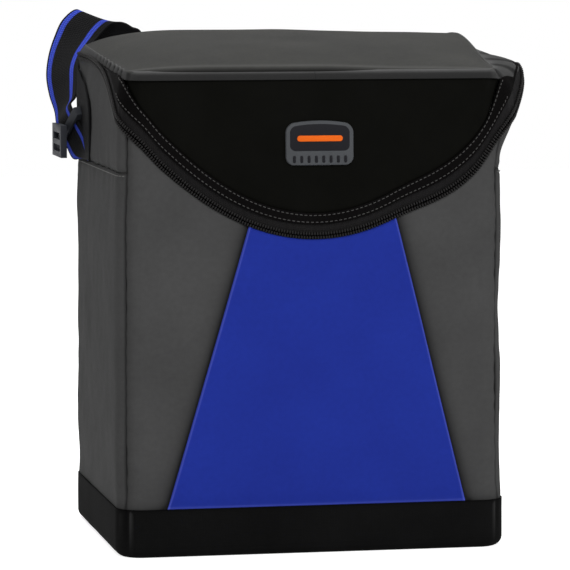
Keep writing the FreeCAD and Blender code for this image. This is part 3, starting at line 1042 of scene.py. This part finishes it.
make_wall_foam("front", -corner_seam, corner_seam)
make_wall_foam("right", corner_seam, back_seam)
make_wall_foam("back", back_seam, far_back_seam)
make_wall_foam("left", far_back_seam, 2 * back_middle - corner_seam)
make_floor_foam()
make_liner()
make_board()


# Inside of the lid
lining_half = 0.126


def lid_inside(u, v, inset):
    """Point on the inside of the lid: up behind the flap, then back under the top to the hinge."""
    x = mix(-lining_half, lining_half, u)
    s = x * front_end / lining_half
    bottom = zip_height(s, tape_reach + 0.001)
    front_share = 0.4
    roll = 0.010
    front_gap = 0.012
    back_gap = 0.006
    if v <= front_share:
        z = mix(bottom, max(lid_seam_front - roll, bottom), v / front_share)
        return wall(s, z, inset)
    share = (v - front_share) / (1 - front_share)
    y = mix(front_gap - half_depth, half_depth - back_gap, share)
    return Vector((x, y, lid_top_z(x / half_width, y) + inset))


def make_lid_inside():
    pad_piece("foam_pad_lid", 44, 70, lid_inside, "lid", "lid_foam", foam_face + 0.0004)
    steps = 40
    lining_length = path_length([lid_inside(0.5, step / steps, -liner_face) for step in range(steps + 1)])

    def place(u, v):
        slack = 0.0006 * abs(crinkle(u, v, 0.12, 81.0))
        return lid_inside(1 - u, v, -liner_face - slack), (u * 2 * lining_half, v * lining_length), 0.0
    liner = grid_piece("lid_lining", 90, 90, place, liner_film, liner_back - liner_face)
    finish_cloth(liner, "lid", "liner_film", ["lid_foam"], "lid_liner")


def make_lid_side_lining(side, word):
    """Lining strip from the lid's lining down to the zipper tape."""
    columns = 80
    rows = 8
    end_gap = 0.006
    sag = 0.003

    def strip_point(u, v):
        s = side * mix(corner_end, side_end - end_gap, u)
        y = plan_point(s)[1]
        upper = Vector((side * lining_half, y, lid_top_z(side * lining_half / half_width, y) - liner_face))
        lower = wall(s, min(lid_up(s, tape_reach), edge_at(s) - 0.003), -tape_depth)
        point = upper.lerp(lower, v)
        point.z -= sag * math.sin(math.pi * v)
        return s, point

    widths = []
    for i in range(columns + 1):
        widths.append(path_length([strip_point(i / columns, j / rows)[1] for j in range(rows + 1)]))
    mean_width = sum(widths) / len(widths)

    def place(u, v):
        s, point = strip_point(u, v)
        return point, (s, v * mean_width), 0.0
    item = grid_piece("lid_side_lining_" + word, columns, rows, place, liner_film, 0.0006, flip=side > 0)
    finish_cloth(item, "lid", "liner_film", ["lid_foam"])


def make_welt():
    """Corded welt along the hinge."""
    radius = 0.002
    twist = 0.0006
    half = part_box("hinge_welt")[1].x

    def place(u, v):
        turn = 2 * math.pi * u
        x = mix(-half, half, v)
        swell = radius * (1 - 0.06 * (1 + math.sin(turn + x / twist)) / 2)
        end = math.sqrt(clamp((half - abs(x)) / radius))
        y = half_depth + swell * end * math.cos(turn)
        z = hinge_height + swell * end * math.sin(turn)
        return Vector((x, y, z)), (x, turn * radius), 0.0
    item = grid_piece("welt_cord", 14, 300, place, trim_cloth, 0, loop=True)
    finish_piece(item, "bag", "black_fabric", "hinge_welt")


make_lid_inside()
for side, word in sides:
    make_lid_side_lining(side, word)
make_welt()


# Shoulder strap: pairs of points on its front and back edges, from the left seam round to the right seam
run_direction = Vector((-0.33, 0.55, 0.77)).normalized()
run_lean = Vector((-0.4, 1.0, 0.0))
strap_seam = Vector((-half_width - webbing_thickness / 2, half_depth - 0.049, side_seam))
seam_skew = 0.019
crest_left = Vector((-0.100, 0.141, 0.3745))
crest_right = Vector((0.118, 0.141, 0.337))
crest_axis = (crest_right - crest_left).normalized()
blend_in = crest_axis * 0.018


def run_pair(reach):
    """Edges of the straight run that leaves the left seam, at a distance along it."""
    centre = strap_seam + run_direction * reach
    across = (run_lean - run_direction * run_lean.dot(run_direction)).normalized() * webbing_width / 2
    return centre - across, centre + across


def flat_pair(point, reach=webbing_width / 2):
    """Edges where the strap's width lies front to back."""
    across = Vector((0, reach, 0))
    return point - across, point + across


def mirrored(pair):
    return tuple(Vector((-point.x, point.y, point.z)) for point in pair)


def pairs_at(*places):
    """Pairs of edges from places in millimetres."""
    return [(Vector(front) / 1000, Vector(back) / 1000) for front, back in places]


seam_pair = flat_pair(strap_seam, seam_skew)
left_pairs = [seam_pair, run_pair(0.012), run_pair(0.027), run_pair(0.041), *pairs_at(
    ((-144.8, 76, 321), (-157.0, 101, 308)), ((-141.4, 87, 331.5), (-159.4, 112, 320)),
    ((-138.4, 99, 343), (-160.0, 123, 334)), ((-132.5, 110, 351.5), (-156.5, 135, 349)),
    ((-123, 120, 360.5), (-150.5, 145, 363)), ((-116, 124, 367.5), (-143, 151, 376)),
    ((-109.5, 125, 373), (-131, 153, 383.5)), ((-102, 125, 374.5), (-122, 150, 370)),
    ((-94, 126, 371), (-117, 145, 353)), ((-84, 129, 362), (-106, 142, 338)))]
loop_pairs = [flat_pair(Vector((x, crest_left.y, z))) for x, z in (
    (-0.080, 0.315), (-0.076, 0.240), (-0.060, 0.158), (0.0, 0.108), (0.060, 0.158), (0.077, 0.240),
    (0.0835, 0.310))]
right_pairs = [
    flat_pair(crest_right - blend_in), flat_pair(crest_right), flat_pair(crest_right + crest_axis * 0.010),
    *pairs_at(((146, 118, 335), (147, 147, 328)), ((154, 98, 325), (158, 122, 308))),
    mirrored(run_pair(0.045)), mirrored(run_pair(0.014)), mirrored(seam_pair)]
tail_pairs = pairs_at(
    ((-140.4, 36, 274.5), (-140.4, 75, 274.5)), ((-141.0, 31, 294), (-143.0, 74, 297)),
    ((-141.2, 32, 314), (-144.5, 70, 321)), ((-141.4, 48, 328), (-142.6, 80, 333)),
    ((-140.8, 66, 334), (-141.2, 92, 342)))


def between(pairs, index, share):
    """Edges on smooth curves through the pairs, at a share of the way from one pair to the next."""
    square = share * share
    cube = square * share
    near = [pairs[clamp(index + step, 0, len(pairs) - 1)] for step in (-1, 0, 1, 2)]
    edges = []
    for first, start, end, last in zip(*near):
        into = (end - first) / 2
        away = (last - start) / 2
        edges.append(start * (2 * cube - 3 * square + 1) + into * (cube - 2 * square + share)
                     + end * (3 * square - 2 * cube) + away * (cube - square))
    return edges


def make_strap():
    """One smooth ribbon, cut in three: the left end, the hanging loop and the right end."""
    pairs = left_pairs + loop_pairs + right_pairs
    steps = 10
    edges = []
    for index in range(len(pairs) - 1):
        edges += [between(pairs, index, step / steps) for step in range(steps)]
    edges.append(pairs[-1])
    middles = [(front + back) / 2 for front, back in edges]
    lengths = [0.0]
    for first, second in zip(middles, middles[1:]):
        lengths.append(lengths[-1] + (second - first).length)
    first_cut = (len(left_pairs) - 1) * steps
    second_cut = (len(left_pairs) + len(loop_pairs)) * steps

    def ribbon(name, start, end):
        def place(u, v):
            row = round(mix(start, end, v))
            front, back = edges[row]
            return front.lerp(back, u), (u * webbing_width, lengths[row]), 0.0
        return grid_piece(name, 24, end - start, place, webbing, webbing_thickness,
                          lining=webbing_back, flip=True)

    left = ribbon("strap_left_webbing", 0, first_cut)
    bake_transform(left)
    loop = ribbon("strap_loop_webbing", first_cut, second_cut)
    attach(loop, "strap")
    right = ribbon("strap_right_webbing", second_cut, len(edges) - 1)
    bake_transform(right)
    for item, node_name in ((left, "strap_end_left"), (loop, "strap_loop"), (right, "strap_end_right")):
        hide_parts(node_name)


def make_strap_tail():
    """Folded-back end of the webbing, sewn flat on the left yoke under the strap."""
    spans = len(tail_pairs) - 1
    plain_low = 0.0075
    plain_width = 0.015

    def place(u, v):
        index = min(int(v * spans), spans - 1)
        front, back = between(tail_pairs, index, v * spans - index)
        return front.lerp(back, 1 - u), (plain_low + u * plain_width, v * 0.1), 0.0
    item = grid_piece("strap_tail_left", 10, spans * 10, place, webbing_back, webbing_thickness)
    finish_piece(item, "bag", "webbing")


make_strap()
make_strap_tail()


# Moulded and cast pieces keep the frame's shape, with softened edges
def softened_copy(name, node_name, material, width, body, slot):
    mesh = frame["nodes"][node_name].data.copy()
    mesh.name = name
    shape = bmesh.new()
    shape.from_mesh(mesh)
    bmesh.ops.remove_doubles(shape, verts=shape.verts, dist=1e-6)
    bmesh.ops.dissolve_limit(shape, angle_limit=math.radians(1), verts=shape.verts, edges=shape.edges)
    shape.to_mesh(mesh)
    shape.free()
    mesh.materials.clear()
    mesh.materials.append(material)
    item = new_object(name, mesh)
    soften_edges(item, width, 3, 40)
    smooth_faces(item.data)
    item.data.set_sharp_from_angle(angle=math.radians(35))
    finish_piece(item, body, slot, node_name)


softened_copy("adjuster_buckle", "strap_adjuster", buckle_plastic, 0.0006, "adjuster", "buckle_plastic")
softened_copy("zip_slider", "slider_body", slider_enamel, 0.0004, "slider", "slider_metal")
softened_copy("zip_pull", "slider_pull", slider_enamel, 0.0004, "pull", "slider_metal")
stop_materials = frame["nodes"]["zipper_end_stops"].data.materials
stop_materials.clear()
stop_materials.append(coil_plastic)


# Rows of teeth and stitches along lines
row_sizes = ("Pitch", "Long", "Wide", "Tall")


def row_tree():
    """Rounded blocks set along a line, each turned to the line and to the outward direction."""
    given_kinds = {"Line": "Geometry", **dict.fromkeys(row_sizes, "Float"), "Finish": "Material"}
    tree, given, end = add_group("row_along_line", "GeometryNodeTree", given_kinds, {"Row": "Geometry"})
    curve = node(tree, "GeometryNodeMeshToCurve", {"Mesh": given["Line"]})
    even = node(tree, "GeometryNodeResampleCurve", {
        "Curve": curve.outputs["Curve"], "Length": given["Pitch"]}, mode="LENGTH")
    sizes = node(tree, "ShaderNodeCombineXYZ", {"X": given["Long"], "Y": given["Wide"], "Z": given["Tall"]})
    block = node(tree, "GeometryNodeMeshCube", {"Size": sizes.outputs[0]})
    rounded = node(tree, "GeometryNodeSubdivisionSurface", {
        "Mesh": block.outputs["Mesh"], "Level": 1, "Edge Crease": 0.55})
    outward = node(tree, "GeometryNodeInputNamedAttribute", {"Name": "outward"}, data_type="FLOAT_VECTOR")
    face_out = node(tree, "FunctionNodeAlignRotationToVector", {
        "Vector": outward.outputs["Attribute"]}, axis="Z")
    tangent = node(tree, "GeometryNodeInputTangent")
    follow = node(tree, "FunctionNodeAlignRotationToVector", {
        "Rotation": face_out.outputs[0], "Vector": tangent.outputs[0]}, axis="X", pivot_axis="Z")
    placed = node(tree, "GeometryNodeInstanceOnPoints", {
        "Points": even.outputs["Curve"], "Instance": rounded.outputs["Mesh"], "Rotation": follow.outputs[0]})
    real = node(tree, "GeometryNodeRealizeInstances", {0: placed.outputs["Instances"]})
    finish = node(tree, "GeometryNodeSetMaterial", {"Geometry": real.outputs[0], "Material": given["Finish"]})
    join(tree, end, {"Row": finish.outputs[0]})
    return tree


rows_along_lines = row_tree()


def row_piece(name, lines, pitch, size, material):
    """Row of blocks along each line. A line is a list of points, each with its outward direction."""
    mesh = bpy.data.meshes.new(name)
    points, outwards, links = [], [], []
    for line in lines:
        first = len(points)
        links += [(i, i + 1) for i in range(first, first + len(line) - 1)]
        points += [point for point, _ in line]
        outwards += [out for _, out in line]
    mesh.from_pydata(points, links, [])
    layer = mesh.attributes.new("outward", "FLOAT_VECTOR", "POINT")
    layer.data.foreach_set("vector", [part for out in outwards for part in out])
    item = new_object(name, mesh)
    maker = item.modifiers.new("row", "NODES")
    maker.node_group = rows_along_lines
    sockets = {s.name: s.identifier for s in rows_along_lines.interface.items_tree if s.in_out == "INPUT"}
    for label, value in zip((*row_sizes, "Finish"), (pitch, *size, material)):
        maker[sockets[label]] = value
    bake_modifiers(item)
    smooth_faces(item.data)
    return item


def wall_line(first, last, count, height, out):
    """Points along the wall with their outward directions. height(s) gives z."""
    line = []
    for step in range(count + 1):
        s = mix(first, last, step / count)
        _, _, nx, ny = plan_point(s)
        line.append((wall(s, height(s), out), Vector((nx, ny, 0))))
    return line


def make_zipper_rows():
    pitch = 0.0020
    size = (0.0013, 0.0026, 0.0022)
    half = size[1] / 2 + 0.0001
    for word, offset, body in (("body", -half, "bag"), ("lid", half, "lid")):
        line = wall_line(-zip_rear, zip_rear, 500, partial(zip_height, offset=offset), 0.0006)
        item = row_piece("zip_teeth_" + word, [line], pitch, size, coil_plastic)
        finish_piece(item, body, "coil_plastic", "zipper_teeth_" + word)


def make_trim_stitches():
    inset = 0.0016
    lines = []
    for height in (partial(lid_up, offset=trim_low + inset), lambda s: trim_top(s) - inset):
        lines.append(wall_line(-corner_end, corner_end - 0.008, 500, height, 0.0012))
    item = row_piece("trim_stitches", lines, 0.0034, (0.0023, 0.0007, 0.0006), thread_light)
    finish_piece(item, "lid", "black_fabric")


def make_yoke_stitches(side, word):
    end_gap = 0.002
    line = wall_line(side * (corner_seam + end_gap), side * (back_seam - end_gap), 120,
                     level(side_seam - 0.0024), 0.0004)
    item = row_piece("yoke_stitches_" + word, [line], 0.0036, (0.0024, 0.0006, 0.0005), thread_grey)
    finish_piece(item, "bag", "grey_fabric")


make_zipper_rows()
make_trim_stitches()
for side, word in sides:
    make_yoke_stitches(side, word)


# Badge on the flap
badge_low, badge_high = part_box("badge_patch")
badge_x = (badge_low.x + badge_high.x) / 2
badge_z = (badge_low.z + badge_high.z) / 2
badge_wide = badge_high.x - badge_low.x
badge_tall = badge_high.z - badge_low.z


def plate_outline(x, z, wide, tall, radius):
    """Rounded rectangle, with more points along its top and bottom so that they can follow an arch."""
    per_corner = 8
    per_edge = 16
    outline = []
    for quarter in range(4):
        reach = wide / 2 - radius
        cx = x + reach * (1 if quarter in (0, 3) else -1)
        cz = z + (tall / 2 - radius) * (1 if quarter in (0, 1) else -1)
        for step in range(per_corner + 1):
            turn = math.pi / 2 * (quarter + step / per_corner)
            outline.append((cx + radius * math.cos(turn), cz + radius * math.sin(turn)))
        if quarter in (0, 2):
            way = 1 if quarter == 0 else -1
            for step in range(1, per_edge):
                outline.append((x + way * reach * (1 - 2 * step / per_edge), cz + way * radius))
    return outline


def badge_plate(name, x, z, wide, tall, radius, arch, low, high, roll, material, slot, nodes=()):
    """Moulded plate that lies on the flap: a rounded outline with an arched top and a rolled edge."""
    shape = bmesh.new()
    outline = plate_outline(x, z, wide, tall, radius)
    rings = []
    for inset, out in ((0.0, low), (0.0, high - roll), (roll * 0.3, high - roll * 0.3), (roll, high)):
        ring = []
        for px, pz in outline:
            qx = x + (px - x) * (1 - 2 * inset / wide)
            qz = z + (pz - z) * (1 - 2 * inset / tall)
            if pz > z:
                qz += arch * (1 - ((qx - x) / (wide / 2)) ** 2)
            ring.append(shape.verts.new(wall(qx, qz, out)))
        rings.append(ring)
    count = len(outline)
    for first, second in zip(rings, rings[1:]):
        for i in range(count):
            shape.faces.new((first[i], first[(i + 1) % count], second[(i + 1) % count], second[i]))
    shape.faces.new(rings[-1])
    shape.faces.new(rings[0])
    bmesh.ops.recalc_face_normals(shape, faces=shape.faces)
    item = shaped_object(name, shape, material)
    smooth_faces(item.data)
    item.data.set_sharp_from_angle(angle=math.radians(40))
    finish_piece(item, "lid", slot, *nodes)


def make_badge():
    """Grey rim with a dark inset, a plain bar on the inset and a row of small ribs below it."""
    rib_count = 8
    rib_pitch = 0.0053
    badge_plate("badge_rim", badge_x, badge_z, badge_wide, badge_tall - 0.0020,
                radius=0.0060, arch=0.0026, low=0.0001, high=0.0022, roll=0.0012,
                material=rubber_rim, slot="badge_rubber", nodes=["badge_patch"])
    badge_plate("badge_inset", badge_x, badge_z + 0.0042, badge_wide - 0.006, badge_tall - 0.0140,
                radius=0.004, arch=0.0020, low=0.0018, high=0.0024, roll=0.0003,
                material=rubber_dark, slot="inlay_rubber", nodes=["badge_inlay"])
    badge_plate("badge_bar", badge_x, badge_z + 0.0045, badge_wide - 0.016, 0.0042,
                radius=0.002, arch=0.0, low=0.0020, high=0.0030, roll=0.0005,
                material=rubber_orange, slot="inlay_rubber")
    for step in range(rib_count):
        rib_x = badge_x + (step - (rib_count - 1) / 2) * rib_pitch
        badge_plate("badge_rib_%d" % step, rib_x, badge_z - 0.0102, 0.0020, 0.0050,
                    radius=0.0008, arch=0.0, low=0.0018, high=0.0028, roll=0.0004,
                    material=rubber_dark, slot="inlay_rubber")


make_badge()


# Camera at the photo's angle
scene = bpy.context.scene
camera_data = bpy.data.cameras.new("camera")
camera_data.lens = 240
camera_data.sensor_width = 36
camera_data.clip_end = 20
camera = new_object("camera", camera_data)
target = Vector((0, 0, 0.1830))
yaw = math.radians(-11.4)
pitch = math.radians(5.4)
distance = 2.807
away = Vector((math.sin(yaw) * math.cos(pitch), -math.cos(yaw) * math.cos(pitch), math.sin(pitch)))
camera.location = target + away * distance
camera.rotation_euler = (-away).to_track_quat("-Z", "Y").to_euler()
scene.camera = camera
scene.view_settings.view_transform = "Standard"


# Floor, world and lamps
def glow(tree, low, high):
    """High strength for rays that show the surface, straight or by reflection, and low for all others."""
    path = node(tree, "ShaderNodeLightPath").outputs
    seen = maths(tree, "MAXIMUM", path["Is Camera Ray"], path["Is Transmission Ray"])
    seen = maths(tree, "MAXIMUM", seen, path["Is Glossy Ray"])
    return node(tree, "ShaderNodeMapRange", {"Value": seen, "To Min": low, "To Max": high}).outputs[0]


white = (1, 1, 1, 1)
world = bpy.data.worlds.new("studio")
scene.world = world
world.use_nodes = True
sky = world.node_tree
join(sky, sky.nodes["Background"], {"Strength": glow(sky, 0.30, 1.0), "Color": white})

floor_half = 4.0
floor_corners = [(-floor_half, -floor_half, 0), (floor_half, -floor_half, 0),
                 (floor_half, floor_half, 0), (-floor_half, floor_half, 0)]
floor_mesh = bpy.data.meshes.new("floor")
floor_mesh.from_pydata(floor_corners, [], [(0, 1, 2, 3)])
floor_material, floor_tree, floor_shader = new_material("floor_pale")
join(floor_tree, floor_shader, {"Base Color": (0.8, 0.8, 0.8, 1), "Roughness": 0.9, "Emission Color": white,
                                "Emission Strength": glow(floor_tree, 0.0, 0.80)})
floor_mesh.materials.append(floor_material)
new_object("floor", floor_mesh)


def add_lamp(name, place, aim, size, power):
    data = bpy.data.lights.new(name, "AREA")
    data.shape = "DISK"
    data.size = size
    data.energy = power
    lamp = new_object(name, data)
    lamp.location = place
    lamp.rotation_euler = (Vector(place) - Vector(aim)).to_track_quat("Z", "Y").to_euler()


add_lamp("key", (-0.6, -2.5, 2.2), (0, 0, 0.2), 1.6, 42)
add_lamp("fill", (1.8, -1.6, 1.2), (0, 0, 0.2), 1.6, 16)
add_lamp("top", (0.0, 0.6, 2.4), (0, 0, 0.3), 1.6, 22)
